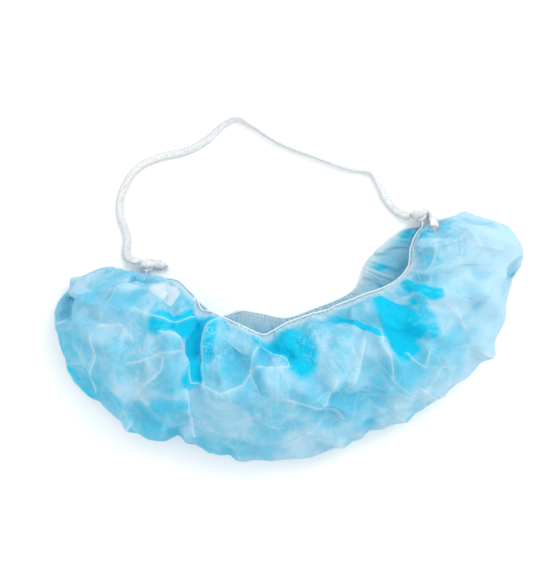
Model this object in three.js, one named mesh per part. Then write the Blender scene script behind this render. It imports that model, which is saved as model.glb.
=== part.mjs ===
// A disposable beard net as it lies on a table: a puffed pouch of thin non-woven cloth, gathered on an
// elastic round its long mouth, and a limp elastic cord that goes over the ears or behind the head.
// Millimetres, +Z up. +Y is the side that the mouth faces, and the cloth rests on the plane Z = 0.
import * as THREE from 'three';

// Driving dimensions
const POUCH_WIDTH = 260; // from one puffed end to the other
const POUCH_DEPTH = 137; // from the bottom of the crescent to the top of its higher end
const POUCH_HEIGHT = 48; // how far the trapped air lifts the upper layer off the table
const CLOTH_WALL = 1.0; // the crumpled sheet, taken with its fine wrinkles
const CLOTH_LENGTH = 460; // the strip of cloth as it is cut, end to end
const CLOTH_BREADTH = 200; // the strip of cloth as it is cut, edge to edge
const LOWER_EDGE_RISE = 2.2; // the lower edge curls this far off the table
const GATHERS = 21; // small pleats along each gathered edge
const GATHER_RISE = 1.1; // how far a pleat stands out of the sheet
const GATHER_FADE = 14; // how far from the edge a pleat has died away
const EDGE_ELASTIC_RADIUS = 1.1;
const HEAD_ELASTIC_RADIUS = 1.7;
const KNOT_CORD_RADIUS = 1.0; // the cord is pulled thin where it is knotted
const KNOT_PITCH = 2.5; // how far the knot's turn climbs
const KNOT_LEAD = 5; // the straight end between the knot's turn and the free cord
const KNOT_TAIL = 9; // the cut end past the knot's turn
const TAIL_SPLAY = 1; // how far the cut end bends away from the cloth
const EYE_SLACK = 0.5; // how much wider than the knot the mouth elastic's end opens
const EYE_STANDOFF = 0.9; // how far the eye's near side stays from the end of the cloth
const EYE_SWEEP = THREE.MathUtils.degToRad(220); // how much of a full turn the eye makes
const SEAM_GAP = 0.3; // clearance where one piece is tied to the next
const LAID_GAP = 0.2; // the free cord's clearance over the table
const STITCH_GAP = 1.05; // clearance between the edge elastic and the cloth, whose gathers waver beside it

// How finely the pieces are cut
const LENGTH_STEPS = 4 * GATHERS; // sections of the cloth, four to each gather
const BREADTH_STEPS = 24;
const SECTIONS_PER_POINT = 4; // sections of the cloth between two points of the edge elastic
const EDGE_ELASTIC_SIDES = 6;
const HEAD_ELASTIC_STEPS = 48;
const HEAD_ELASTIC_SIDES = 8;
const KNOT_STEPS = 30;
const KNOT_SIDES = 6;
const TURN_POINTS = 12; // of a knot's turn
const EYE_POINTS = 8; // of the eye at each end of the mouth elastic

// Sections across the crescent, from its left end to its right end. upper and lower are the places of the
// two gathered edges and fold is the furthest reach of the cloth, x and y as shares of half the pouch's
// width and depth. crown is the top of the section and mouth the height of its upper edge, as shares of
// the pouch's height.
const SECTIONS = [
  { upper: [-0.620, 0.470], lower: [-0.619, 0.469], fold: [-0.676, 0.500], crown: 0.25, mouth: 0.17 },
  { upper: [-0.590, 0.478], lower: [-0.586, 0.477], fold: [-0.815, 0.520], crown: 0.45, mouth: 0.21 },
  { upper: [-0.555, 0.470], lower: [-0.552, 0.478], fold: [-0.950, 0.370], crown: 0.66, mouth: 0.25 },
  { upper: [-0.516, 0.448], lower: [-0.508, 0.466], fold: [-0.996, 0.136], crown: 0.82, mouth: 0.30 },
  { upper: [-0.472, 0.430], lower: [-0.463, 0.454], fold: [-0.941, -0.216], crown: 0.91, mouth: 0.34 },
  { upper: [-0.425, 0.345], lower: [-0.419, 0.365], fold: [-0.798, -0.560], crown: 0.95, mouth: 0.37 },
  { upper: [-0.374, 0.257], lower: [-0.366, 0.277], fold: [-0.635, -0.810], crown: 0.93, mouth: 0.40 },
  { upper: [-0.311, 0.161], lower: [-0.305, 0.189], fold: [-0.445, -0.835], crown: 0.90, mouth: 0.42 },
  { upper: [-0.218, 0.080], lower: [-0.205, 0.189], fold: [-0.273, -0.960], crown: 0.94, mouth: 0.43 },
  { upper: [-0.112, 0.004], lower: [-0.116, 0.161], fold: [-0.083, -1.000], crown: 0.98, mouth: 0.43 },
  { upper: [-0.011, 0.092], lower: [-0.011, 0.128], fold: [0.129, -0.965], crown: 1.00, mouth: 0.43 },
  { upper: [0.112, 0.177], lower: [0.108, 0.205], fold: [0.311, -0.832], crown: 0.97, mouth: 0.42 },
  { upper: [0.222, 0.249], lower: [0.214, 0.285], fold: [0.514, -0.652], crown: 0.95, mouth: 0.42 },
  { upper: [0.315, 0.321], lower: [0.281, 0.369], fold: [0.683, -0.440], crown: 0.93, mouth: 0.41 },
  { upper: [0.387, 0.365], lower: [0.307, 0.466], fold: [0.848, -0.176], crown: 0.90, mouth: 0.39 },
  { upper: [0.459, 0.442], lower: [0.324, 0.562], fold: [0.925, 0.200], crown: 0.84, mouth: 0.36 },
  { upper: [0.506, 0.554], lower: [0.357, 0.650], fold: [0.992, 0.600], crown: 0.74, mouth: 0.32 },
  { upper: [0.514, 0.682], lower: [0.413, 0.747], fold: [0.944, 0.850], crown: 0.60, mouth: 0.27 },
  { upper: [0.539, 0.803], lower: [0.484, 0.847], fold: [0.785, 0.960], crown: 0.44, mouth: 0.21 },
  { upper: [0.575, 0.880], lower: [0.574, 0.879], fold: [0.628, 0.930], crown: 0.25, mouth: 0.17 },
];

// The cloth's way round a section between its two edges. out is a share of the section's reach and up a
// share of its crown.
const ROUND_THE_SECTION = [
  { out: 0.13, up: 0.76 },
  { out: 0.36, up: 1.00 },
  { out: 0.64, up: 0.93 },
  { out: 0.89, up: 0.66 },
  { out: 1.00, up: 0.34 },
  { out: 0.93, up: 0.06 },
  { out: 0.74, up: 0.00 },
  { out: 0.40, up: 0.00 },
  { out: 0.10, up: 0.00 },
];

// The main folds and dents. Each runs straight over the cloth from one place to another, given as shares
// of the cloth's length and breadth. rise, a share of the pouch's height, is above the sheet for a ridge
// and below it for a dent. spread, a share of the cloth's breadth, is half the fold's width.
const FOLDS = [
  { of: 'left lobe, right dent', length: [0.326, 0.350], breadth: [0.03, 0.17], rise: -0.17, spread: 0.085 },
  { of: 'left lobe, right dent', length: [0.350, 0.372], breadth: [0.17, 0.30], rise: -0.12, spread: 0.075 },
  { of: 'left lobe, right edge', length: [0.250, 0.300], breadth: [0.17, 0.20], rise: 0.07, spread: 0.050 },
  { of: 'left lobe, right edge', length: [0.300, 0.345], breadth: [0.20, 0.33], rise: 0.09, spread: 0.055 },
  { of: 'left lobe, pool', length: [0.235, 0.300], breadth: [0.10, 0.13], rise: -0.09, spread: 0.060 },
  { of: 'left lobe, ring', length: [0.180, 0.232], breadth: [0.39, 0.33], rise: 0.08, spread: 0.050 },
  { of: 'left lobe, ring', length: [0.232, 0.268], breadth: [0.33, 0.42], rise: 0.08, spread: 0.050 },
  { of: 'left lobe, ring', length: [0.190, 0.262], breadth: [0.47, 0.50], rise: -0.09, spread: 0.055 },
  { of: 'left lobe, shoulder', length: [0.110, 0.165], breadth: [0.20, 0.34], rise: -0.08, spread: 0.055 },
  { of: 'left lobe, shoulder', length: [0.120, 0.200], breadth: [0.42, 0.24], rise: 0.07, spread: 0.045 },
  { of: 'left lobe, low flap', length: [0.283, 0.315], breadth: [0.34, 0.47], rise: -0.10, spread: 0.055 },
  { of: 'left lobe, low flap', length: [0.320, 0.372], breadth: [0.46, 0.44], rise: 0.08, spread: 0.045 },
  { of: 'rounded lobe', length: [0.385, 0.430], breadth: [0.10, 0.14], rise: 0.09, spread: 0.110 },
  { of: 'rounded lobe, bottom', length: [0.380, 0.446], breadth: [0.30, 0.25], rise: 0.07, spread: 0.045 },
  { of: 'rounded lobe, below', length: [0.400, 0.450], breadth: [0.36, 0.33], rise: -0.09, spread: 0.055 },
  { of: 'centre pool', length: [0.480, 0.512], breadth: [0.06, 0.13], rise: -0.13, spread: 0.075 },
  { of: 'centre pool', length: [0.512, 0.545], breadth: [0.13, 0.17], rise: -0.09, spread: 0.060 },
  { of: 'star crease', length: [0.455, 0.478], breadth: [0.13, 0.21], rise: 0.07, spread: 0.040 },
  { of: 'long crease', length: [0.478, 0.525], breadth: [0.21, 0.26], rise: 0.08, spread: 0.042 },
  { of: 'long crease', length: [0.525, 0.570], breadth: [0.26, 0.37], rise: 0.08, spread: 0.042 },
  { of: 'bottom dent', length: [0.435, 0.455], breadth: [0.40, 0.50], rise: -0.07, spread: 0.050 },
  { of: 'bottom dent', length: [0.500, 0.530], breadth: [0.37, 0.50], rise: -0.09, spread: 0.055 },
  { of: 'middle crease', length: [0.600, 0.567], breadth: [0.16, 0.27], rise: 0.09, spread: 0.045 },
  { of: 'right mouth, slit', length: [0.590, 0.655], breadth: [0.03, 0.13], rise: -0.10, spread: 0.050 },
  { of: 'middle hollow', length: [0.610, 0.600], breadth: [0.27, 0.42], rise: -0.10, spread: 0.060 },
  { of: 'right crease', length: [0.650, 0.652], breadth: [0.17, 0.28], rise: 0.08, spread: 0.042 },
  { of: 'right crease', length: [0.652, 0.640], breadth: [0.28, 0.40], rise: 0.08, spread: 0.042 },
  { of: 'right pool', length: [0.735, 0.690], breadth: [0.12, 0.22], rise: -0.14, spread: 0.080 },
  { of: 'right pool', length: [0.690, 0.672], breadth: [0.22, 0.34], rise: -0.09, spread: 0.060 },
  { of: 'right lobe, waist', length: [0.750, 0.722], breadth: [0.31, 0.46], rise: -0.10, spread: 0.060 },
  { of: 'right lobe, crease', length: [0.770, 0.800], breadth: [0.16, 0.30], rise: 0.08, spread: 0.048 },
  { of: 'right lobe, crease', length: [0.800, 0.780], breadth: [0.30, 0.47], rise: 0.08, spread: 0.048 },
  { of: 'right lobe, dent', length: [0.822, 0.850], breadth: [0.20, 0.36], rise: -0.09, spread: 0.055 },
  { of: 'right lobe, tip', length: [0.870, 0.905], breadth: [0.24, 0.40], rise: 0.06, spread: 0.045 },
];

// Where the free cord lies on the table, from the left knot to the right one, in the part's own frame.
const HEAD_ELASTIC_ROUTE = [
  [-90, 41], [-90, 52], [-94, 65], [-92, 78], [-84, 90], [-72, 96], [-58, 99],
  [-46, 105], [-36, 114], [-29, 117], [-21, 113], [-6, 104], [12, 97], [34, 90], [46, 88],
  [50, 82], [54, 73], [60, 66],
];

const halfWidth = POUCH_WIDTH / 2;
const halfDepth = POUCH_DEPTH / 2;
const KNOT_RADIUS = EDGE_ELASTIC_RADIUS + SEAM_GAP + KNOT_CORD_RADIUS; // to the middle of the cord
const EYE_RADIUS = KNOT_RADIUS + EYE_SLACK; // of the eye that the mouth elastic makes at each end

// A smooth line through one chosen pair or triple of the section table's columns.
function lineThrough(rowToPoint) {
  return new THREE.CatmullRomCurve3(SECTIONS.map(rowToPoint), false, 'catmullrom', 0.5);
}

const placed = ([x, y]) => new THREE.Vector3(x * halfWidth, y * halfDepth, 0);
const upperLine = lineThrough((row) => placed(row.upper));
const lowerLine = lineThrough((row) => placed(row.lower));
const foldLine = lineThrough((row) => placed(row.fold));
const heightLine = lineThrough((row) => new THREE.Vector3(row.crown, row.mouth, 0));

// The curve round the cloth at one share of its length, from the upper edge over the top to the lower edge.
function sectionCurve(share) {
  const edge = upperLine.getPoint(share);
  const reach = foldLine.getPoint(share).sub(edge);
  const height = heightLine.getPoint(share).multiplyScalar(POUCH_HEIGHT);
  return new THREE.CatmullRomCurve3([
    edge.clone().setZ(height.y),
    ...ROUND_THE_SECTION.map((row) => edge.clone().addScaledVector(reach, row.out).setZ(row.up * height.x)),
    lowerLine.getPoint(share).setZ(LOWER_EDGE_RISE),
  ]);
}

// Points over the cloth, one list for each section.
function smoothSheet() {
  const rows = [];
  for (let i = 0; i <= LENGTH_STEPS; i++) {
    rows.push(sectionCurve(i / LENGTH_STEPS).getSpacedPoints(BREADTH_STEPS));
  }
  return rows;
}

// The outward normal at each point of a sheet.
function normalsOf(sheet) {
  const last = (list) => list.length - 1;
  return sheet.map((row, i) => row.map((point, j) => {
    const along = sheet[Math.min(i + 1, last(sheet))][j].clone().sub(sheet[Math.max(i - 1, 0)][j]);
    const across = row[Math.min(j + 1, last(row))].clone().sub(row[Math.max(j - 1, 0)]);
    return across.cross(along).normalize();
  }));
}

// How far the folds lift or sink the cloth at one place, given as shares of its length and breadth.
function foldRise(lengthShare, breadthShare) {
  const place = new THREE.Vector3(lengthShare * CLOTH_LENGTH, breadthShare * CLOTH_BREADTH, 0);
  let total = 0;
  for (const fold of FOLDS) {
    const [startX, endX] = fold.length.map((share) => share * CLOTH_LENGTH);
    const [startY, endY] = fold.breadth.map((share) => share * CLOTH_BREADTH);
    const crease = new THREE.Line3(new THREE.Vector3(startX, startY, 0), new THREE.Vector3(endX, endY, 0));
    const nearest = crease.closestPointToPoint(place, true, new THREE.Vector3());
    const side = 1 - nearest.distanceTo(place) / (fold.spread * CLOTH_BREADTH);
    total += fold.rise * POUCH_HEIGHT * THREE.MathUtils.smoothstep(side, 0, 1);
  }
  return total;
}

// The pleats that each elastic gathers, which die away into the sheet.
function gatherRise(lengthShare, breadthShare) {
  const fromEdge = Math.min(breadthShare, 1 - breadthShare) * CLOTH_BREADTH;
  const strength = Math.max(0, 1 - fromEdge / GATHER_FADE);
  return -GATHER_RISE * Math.cos(2 * Math.PI * GATHERS * lengthShare) * strength;
}

// A sheet moved along its normals by a rise that depends on the place, and pressed flat on the table.
function raised(sheet, riseAt) {
  const normals = normalsOf(sheet);
  return sheet.map((row, i) => row.map((point, j) => {
    const moved = point.clone().addScaledVector(normals[i][j], riseAt(i / LENGTH_STEPS, j / BREADTH_STEPS));
    moved.z = Math.max(0, moved.z);
    return moved;
  }));
}

// The sheet's other face, one wall thickness inside.
function innerFace(sheet) {
  const normals = normalsOf(sheet);
  return sheet.map((row, i) => row.map((point, j) => {
    const moved = point.clone().addScaledVector(normals[i][j], -CLOTH_WALL);
    moved.z = Math.max(CLOTH_WALL, moved.z);
    return moved;
  }));
}

// A closed wall between two sheets of points that lie over each other.
function wallBetween(outer, inner) {
  const rows = outer.length;
  const columns = outer[0].length;
  const positions = [...outer.flat(), ...inner.flat()].flatMap((p) => [p.x, p.y, p.z]);
  const indices = [];
  const outerAt = (i, j) => i * columns + j;
  const innerAt = (i, j) => (rows + i) * columns + j;
  const quad = (a, b, c, d) => indices.push(a, b, c, a, c, d);
  for (let i = 0; i < rows - 1; i++) {
    for (let j = 0; j < columns - 1; j++) {
      quad(outerAt(i, j), outerAt(i, j + 1), outerAt(i + 1, j + 1), outerAt(i + 1, j));
      quad(innerAt(i, j), innerAt(i + 1, j), innerAt(i + 1, j + 1), innerAt(i, j + 1));
    }
  }
  const rim = [];
  for (let i = 0; i < rows - 1; i++) rim.push([i, 0]);
  for (let j = 0; j < columns - 1; j++) rim.push([rows - 1, j]);
  for (let i = rows - 1; i > 0; i--) rim.push([i, columns - 1]);
  for (let j = columns - 1; j > 0; j--) rim.push([0, j]);
  rim.forEach((here, k) => {
    const next = rim[(k + 1) % rim.length];
    quad(outerAt(...here), outerAt(...next), innerAt(...next), innerAt(...here));
  });
  const geometry = new THREE.BufferGeometry();
  geometry.setAttribute('position', new THREE.Float32BufferAttribute(positions, 3));
  geometry.setIndex(indices);
  return geometry;
}

// A closed tube along a curve, with flat ends.
function cordAlong(curve, radius, sides, steps) {
  const ring = [];
  for (let k = 0; k < sides; k++) {
    const turn = (2 * Math.PI * k) / sides;
    ring.push(new THREE.Vector2(radius * Math.cos(turn), radius * Math.sin(turn)));
  }
  return new THREE.ExtrudeGeometry(new THREE.Shape(ring), { extrudePath: curve, steps });
}

const nonWoven = new THREE.MeshStandardMaterial({ color: 0x8fd3ee, roughness: 0.85, metalness: 0 });
const coveredElastic = new THREE.MeshStandardMaterial({ color: 0xeeeeec, roughness: 0.9, metalness: 0 });
const knittedElastic = new THREE.MeshStandardMaterial({ color: 0xf2f3f3, roughness: 0.9, metalness: 0 });

const sewnPieces = new THREE.Group();

function namedPiece(name, geometry, material) {
  const mesh = new THREE.Mesh(geometry, material);
  mesh.name = name;
  return mesh;
}

const folded = raised(smoothSheet(), foldRise);
const foldedNormals = normalsOf(folded);
const outerFace = raised(folded, gatherRise);
sewnPieces.add(namedPiece('beard_pouch', wallBetween(outerFace, innerFace(outerFace)), nonWoven));

// The edge elastic's middle beside one place on an edge of the cloth, square to the edge and in the
// sheet's own slope. turn is -1 on the upper edge and 1 on the lower one.
function besideEdge(i, column, turn) {
  const before = folded[Math.max(i - 1, 0)][column];
  const after = folded[Math.min(i + 1, LENGTH_STEPS)][column];
  const away = after.clone().sub(before).cross(foldedNormals[i][column]).normalize();
  const middle = folded[i][column].clone().addScaledVector(foldedNormals[i][column], -CLOTH_WALL / 2);
  return middle.addScaledVector(away, turn * (EDGE_ELASTIC_RADIUS + STITCH_GAP));
}
const besideUpperEdge = (i) => besideEdge(i, 0, -1);
const besideLowerEdge = (i) => besideEdge(i, BREADTH_STEPS, 1);

// The outward direction, level with the table, of the small open end where the two edges meet.
function tieDirection(i) {
  const sum = foldedNormals[i].reduce((total, normal) => total.add(normal), new THREE.Vector3());
  return sum.setZ(0).normalize();
}

// One end of the mouth, where the cord is tied: the furthest point of the mouth elastic's eye, and the
// level directions out of the cloth and along to the free cord.
function tieAt(i) {
  const out = tieDirection(i);
  const toCord = new THREE.Vector3(0, 0, 1).cross(out);
  const reach = 2 * EYE_RADIUS + EYE_STANDOFF;
  const middle = besideUpperEdge(i).lerp(besideLowerEdge(i), 0.5).addScaledVector(out, reach);
  return { middle, out, toCord };
}

const leftTie = tieAt(0);
const rightTie = tieAt(LENGTH_STEPS);

// A place beside a tie, in the tie's own directions.
function besideTie(tie, out, toCord, up) {
  const place = tie.middle.clone().addScaledVector(tie.out, out).addScaledVector(tie.toCord, toCord);
  place.z += up;
  return place;
}

// A curve whose samples follow its points, so that close points give a finely cut bend.
class CurveByPoints extends THREE.CatmullRomCurve3 {
  getUtoTmapping(share) {
    return share;
  }
}

// The eye that the mouth elastic makes at one end. fromAbove is 1 from above to below, -1 the other way.
function eye(tie, fromAbove) {
  const points = [];
  for (let k = 0; k <= EYE_POINTS; k++) {
    const turn = EYE_SWEEP * (k / EYE_POINTS - 0.5);
    const up = -fromAbove * EYE_RADIUS * Math.sin(turn);
    points.push(besideTie(tie, EYE_RADIUS * (Math.cos(turn) - 1), 0, up));
  }
  return points;
}

// The mouth elastic: along the upper edge, round the right tie, back along the lower edge, round the left.
function mouthElastic() {
  const upper = [];
  const lower = [];
  for (let i = 0; i <= LENGTH_STEPS; i += SECTIONS_PER_POINT) {
    upper.push(besideUpperEdge(i));
    lower.unshift(besideLowerEdge(i));
  }
  const points = [...upper, ...eye(rightTie, 1), ...lower, ...eye(leftTie, -1)];
  const loop = new CurveByPoints(points, true);
  return new THREE.TubeGeometry(loop, 2 * points.length, EDGE_ELASTIC_RADIUS, EDGE_ELASTIC_SIDES, true);
}
sewnPieces.add(namedPiece('mouth_elastic', mouthElastic(), coveredElastic));

// Where the knot's straight end stops, a distance further on along the cord.
function leadEnd(tie, further) {
  return besideTie(tie, KNOT_RADIUS, KNOT_LEAD + further, -KNOT_PITCH / 2);
}

// A knot: the cord comes in, makes one turn through the mouth elastic's end and leaves as a short tail.
function knot(tie) {
  const points = [leadEnd(tie, 0), leadEnd(tie, -KNOT_LEAD / 2)];
  for (let k = 0; k <= TURN_POINTS; k++) {
    const share = k / TURN_POINTS - 0.5;
    const turn = 2 * Math.PI * share;
    const sideways = KNOT_RADIUS * Math.sin(turn);
    points.push(besideTie(tie, -KNOT_RADIUS * Math.cos(turn), sideways, KNOT_PITCH * share));
  }
  points.push(besideTie(tie, KNOT_RADIUS, -KNOT_TAIL / 2, KNOT_PITCH / 2));
  points.push(besideTie(tie, KNOT_RADIUS + TAIL_SPLAY, -KNOT_TAIL, 0));
  return cordAlong(new THREE.CatmullRomCurve3(points), KNOT_CORD_RADIUS, KNOT_SIDES, KNOT_STEPS);
}
sewnPieces.add(namedPiece('left_knot', knot(leftTie), knittedElastic));
sewnPieces.add(namedPiece('right_knot', knot(rightTie), knittedElastic));

// The origin is in the middle of the sewn pieces, on the table.
const middle = new THREE.Box3().setFromObject(sewnPieces).getCenter(new THREE.Vector3()).setZ(0);
sewnPieces.position.copy(middle).negate();

// The free cord, which lies on the table from one knot to the other.
function headElastic() {
  const route = HEAD_ELASTIC_ROUTE.map(([x, y]) => new THREE.Vector3(x, y, HEAD_ELASTIC_RADIUS + LAID_GAP));
  const atKnot = (tie, further) => leadEnd(tie, SEAM_GAP + further).sub(middle);
  const start = [atKnot(leftTie, 0), atKnot(leftTie, HEAD_ELASTIC_RADIUS)];
  const end = [atKnot(rightTie, HEAD_ELASTIC_RADIUS), atKnot(rightTie, 0)];
  const curve = new THREE.CatmullRomCurve3([...start, ...route, ...end]);
  return cordAlong(curve, HEAD_ELASTIC_RADIUS, HEAD_ELASTIC_SIDES, HEAD_ELASTIC_STEPS);
}

const beardNet = new THREE.Group();
beardNet.add(sewnPieces, namedPiece('head_elastic', headElastic(), knittedElastic));

export default beardNet;
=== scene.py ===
# %% [markdown]
# # A disposable beard net
#
# The net is a pouch of thin blue non-woven cloth, gathered on an elastic round its long mouth, with a
# knitted elastic cord that goes behind the head. It lies on a white table and is seen from straight
# above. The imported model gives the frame: every piece below is made in metres at the place that the
# solid holds, and then takes that solid's part in the picture.

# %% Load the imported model
import math
import bpy
import numpy as np
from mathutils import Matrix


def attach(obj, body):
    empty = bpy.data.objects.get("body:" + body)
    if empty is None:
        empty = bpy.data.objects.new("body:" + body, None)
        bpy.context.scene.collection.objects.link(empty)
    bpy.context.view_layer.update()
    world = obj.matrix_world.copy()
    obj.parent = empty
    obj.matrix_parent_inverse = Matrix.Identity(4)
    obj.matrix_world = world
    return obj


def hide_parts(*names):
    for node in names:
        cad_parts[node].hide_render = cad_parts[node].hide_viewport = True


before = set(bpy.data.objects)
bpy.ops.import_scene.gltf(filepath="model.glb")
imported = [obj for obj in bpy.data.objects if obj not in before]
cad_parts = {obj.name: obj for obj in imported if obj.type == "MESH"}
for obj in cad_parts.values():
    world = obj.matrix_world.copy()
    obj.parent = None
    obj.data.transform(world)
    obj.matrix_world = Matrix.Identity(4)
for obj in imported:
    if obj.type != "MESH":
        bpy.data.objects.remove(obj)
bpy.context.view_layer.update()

# %% [markdown]
# ## The camera
#
# The photograph looks straight down, so the camera hangs over the net with no tilt. A long lens at 1.5 m
# keeps the picture nearly free of perspective. Its focal length follows from the width of the table that the
# picture shows at the middle height of the cloth: 36 mm of sensor to 303.6 mm of table.

# %% Camera
MIDDLE_HEIGHT = 0.020
CAMERA_DISTANCE = 1.5
SEEN_WIDTH = 0.3036

lens_data = bpy.data.cameras.new("overhead_camera")
lens_data.sensor_fit = "HORIZONTAL"
lens_data.sensor_width = 36.0
lens_data.lens = 36.0 * CAMERA_DISTANCE / SEEN_WIDTH
camera = bpy.data.objects.new("overhead_camera", lens_data)
camera.location = (-0.0071, 0.0248, MIDDLE_HEIGHT + CAMERA_DISTANCE)
bpy.context.collection.objects.link(camera)
bpy.context.scene.camera = camera
print("focal length:", round(lens_data.lens, 1), "mm")

# %% [markdown]
# ## Curves and surfaces as arrays
#
# Everything here is soft and hand-gathered, so no piece is a plain box or tube. Each one is a grid of
# points worked out with numpy: one way of the grid runs along the piece, the other way runs across or
# round it. A curve is first drawn through a few chosen points, then cut evenly along its length.

# %% Curves through points
def curve_through(points, steps, spacing_power=0.5):
    """A smooth curve through the points on the second last axis. Each stretch is a cubic that leaves and
    enters its end points with the slopes of the parabolas through their neighbours. The stretches are
    timed by the gaps between the points, raised to spacing_power; 0 times them evenly."""
    before = 2 * points[..., :1, :] - points[..., 1:2, :]
    after = 2 * points[..., -1:, :] - points[..., -2:-1, :]
    p = np.concatenate([before, points, after], axis=-2)
    gap = np.linalg.norm(np.diff(p, axis=-2), axis=-1, keepdims=True) ** spacing_power
    a, b, c = gap[..., :-2, :], gap[..., 1:-1, :], gap[..., 2:, :]
    p0, p1, p2, p3 = p[..., :-3, :], p[..., 1:-2, :], p[..., 2:-1, :], p[..., 3:, :]
    leave = ((p1 - p0) / a - (p2 - p0) / (a + b) + (p2 - p1) / b) * b
    enter = ((p2 - p1) / b - (p3 - p1) / (b + c) + (p3 - p2) / c) * b
    w = np.linspace(0, 1, steps, endpoint=False)[:, None]
    p1, p2, leave, enter = (q[..., None, :] for q in (p1, p2, leave, enter))
    cubic = p1 * (2*w**3 - 3*w**2 + 1) + leave * (w**3 - 2*w**2 + w)
    cubic = cubic + p2 * (3*w**2 - 2*w**3) + enter * (w**3 - w**2)
    cubic = cubic.reshape(*points.shape[:-2], -1, points.shape[-1])
    return np.concatenate([cubic, points[..., -1:, :]], axis=-2)


def run_along(curve):
    """The distance from the curve's start to each of its points."""
    return np.concatenate([[0.0], np.cumsum(np.linalg.norm(np.diff(curve, axis=0), axis=1))])


def at_shares(curve, shares):
    """The points of a curve at the given shares of its length."""
    run = run_along(curve)
    return np.stack([np.interp(shares * run[-1], run, curve[:, k]) for k in range(curve.shape[1])], axis=1)


def evenly(curve, count):
    """The same curve cut into points that are equally far apart along it."""
    return at_shares(curve, np.linspace(0, 1, count))


# %% Meshes from grids
def mesh_from_grid(name, grid, round_closed=False, capped=False, looped=False, uv=None):
    """A mesh whose points are the rows and columns of the grid. Each square of the grid is one face that
    looks along the across direction crossed with the along direction. round_closed joins the last
    column to the first, capped closes both ends of such a tube, and looped joins them to each other."""
    rows, columns = grid.shape[:2]
    index = np.arange(rows * columns).reshape(rows, columns)
    index = np.concatenate([index, index[:1]]) if looped else index
    across = np.roll(index, -1, axis=1) if round_closed else index[:, 1:]
    here = index if round_closed else index[:, :-1]
    faces = np.stack([here[:-1], across[:-1], across[1:], here[1:]], axis=-1).reshape(-1, 4).tolist()
    if capped:
        faces += [index[0, ::-1].tolist(), index[-1].tolist()]
    mesh = bpy.data.meshes.new(name)
    mesh.from_pydata(grid.reshape(-1, 3).tolist(), [], faces)
    mesh.polygons.foreach_set("use_smooth", np.ones(len(mesh.polygons), bool))
    if uv is not None:
        corners = np.empty(len(mesh.loops), np.int32)
        mesh.loops.foreach_get("vertex_index", corners)
        layer = mesh.uv_layers.new(name="flat_cloth")
        layer.data.foreach_set("uv", uv.reshape(-1, 2)[corners].ravel())
    mesh.update()
    piece = bpy.data.objects.new(name, mesh)
    bpy.context.collection.objects.link(piece)
    print(name, len(mesh.vertices), "points,", len(mesh.polygons), "faces")
    return piece


def paint(piece, name, values):
    """Stores one number for each point of the piece, for its material to read."""
    layer = piece.data.attributes.new(name, "FLOAT", "POINT")
    layer.data.foreach_set("value", np.asarray(values, np.float32).ravel())


def joined(name, grids):
    """One piece made of several tubes of points, each closed at both ends."""
    parts = [mesh_from_grid(name, grid, round_closed=True, capped=True) for grid in grids]
    with bpy.context.temp_override(active_object=parts[0], selected_editable_objects=parts):
        bpy.ops.object.join()
    return parts[0]


# %% [markdown]
# ## Tubes that follow a path
#
# A cord's section has to be carried along its path without spinning. The section's first direction is
# passed from point to point, each time bent back square to the path, and then turned by the twist that
# the real cord has there.

# %% Sections carried along a path
def directions_along(path, first_side):
    """For each point of the path: its tangent, and two directions square to it. The side direction is
    the one before it with its part along the tangent taken off."""
    tangent = np.gradient(path, axis=0)
    tangent /= np.linalg.norm(tangent, axis=1, keepdims=True)
    side = np.empty_like(path)
    last = np.asarray(first_side, float)
    for k, along in enumerate(tangent):
        last = last - along * (last @ along)
        last = last / np.linalg.norm(last)
        side[k] = last
    return tangent, side, np.cross(tangent, side)


def tube_along(path, half_width, half_height, sides, twist=0.0, first_side=(1, 0, 0), swell=None):
    """An oval section carried along a path: point = middle + side * half_width * cos(a)
    + up * half_height * sin(a), with side and up turned by twist. swell(distance, a) adds to its size."""
    tangent, side, up = directions_along(path, first_side)
    a = np.linspace(0, 2 * np.pi, sides, endpoint=False)[None, :]
    turn = np.broadcast_to(np.asarray(twist, float), len(path))[:, None]
    wide = np.broadcast_to(np.asarray(half_width, float), len(path))[:, None]
    high = np.broadcast_to(np.asarray(half_height, float), len(path))[:, None]
    more = 0.0 if swell is None else swell(run_along(path)[:, None], a)
    x = (wide + more) * np.cos(a)
    y = (high + more) * np.sin(a)
    out_side = x * np.cos(turn) - y * np.sin(turn)
    out_up = x * np.sin(turn) + y * np.cos(turn)
    return path[:, None, :] + out_side[..., None] * side[:, None, :] + out_up[..., None] * up[:, None, :]


# %% [markdown]
# ## The cord behind the head
#
# The cord is a knitted elastic about 4.4 mm wide and 2 mm thick. It is limp, so it lies on the table in a
# loose crooked arch, flat in some stretches and turned on its edge in others. The route repeats the
# solid's own points. The knit shows as fine lengthwise ribs crossed by a row of stitches every 1.3 mm,
# and it is modelled, because it is what makes the cord look soft.

# %% Cord
CORD_WIDTH = 0.0044
CORD_THICKNESS = 0.0020
STITCH_ROW = 0.0013
CORD_POINTS, CORD_SIDES = 640, 32
OVER_TABLE = 0.0006
CORD_ROUTE = np.array([
    (-84.004, 38.263, 4.125), (-85.699, 38.396, 4.125), (-90, 41, 1.9), (-90, 52, 1.9), (-94, 65, 1.9),
    (-92, 78, 1.9), (-84, 90, 1.9), (-72, 96, 1.9), (-58, 99, 1.9), (-46, 105, 1.9), (-36, 114, 1.9),
    (-29, 117, 1.9), (-21, 113, 1.9), (-6, 104, 1.9), (12, 97, 1.9), (34, 90, 1.9), (46, 88, 1.9),
    (50, 82, 1.9), (54, 73, 1.9), (60, 66, 1.9), (65.327, 63.382, 3.912), (66.923, 63.967, 3.912),
]) / 1000
# How far the cord is turned off its flat side, in degrees, at shares of its length.
CORD_TWIST = np.array([
    (0.00, 20), (0.06, 8), (0.28, 0), (0.36, 30), (0.44, 38), (0.52, 75), (0.60, 105), (0.74, 120),
    (0.80, 150), (0.86, 165), (0.94, 200), (1.00, 215),
])

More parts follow.
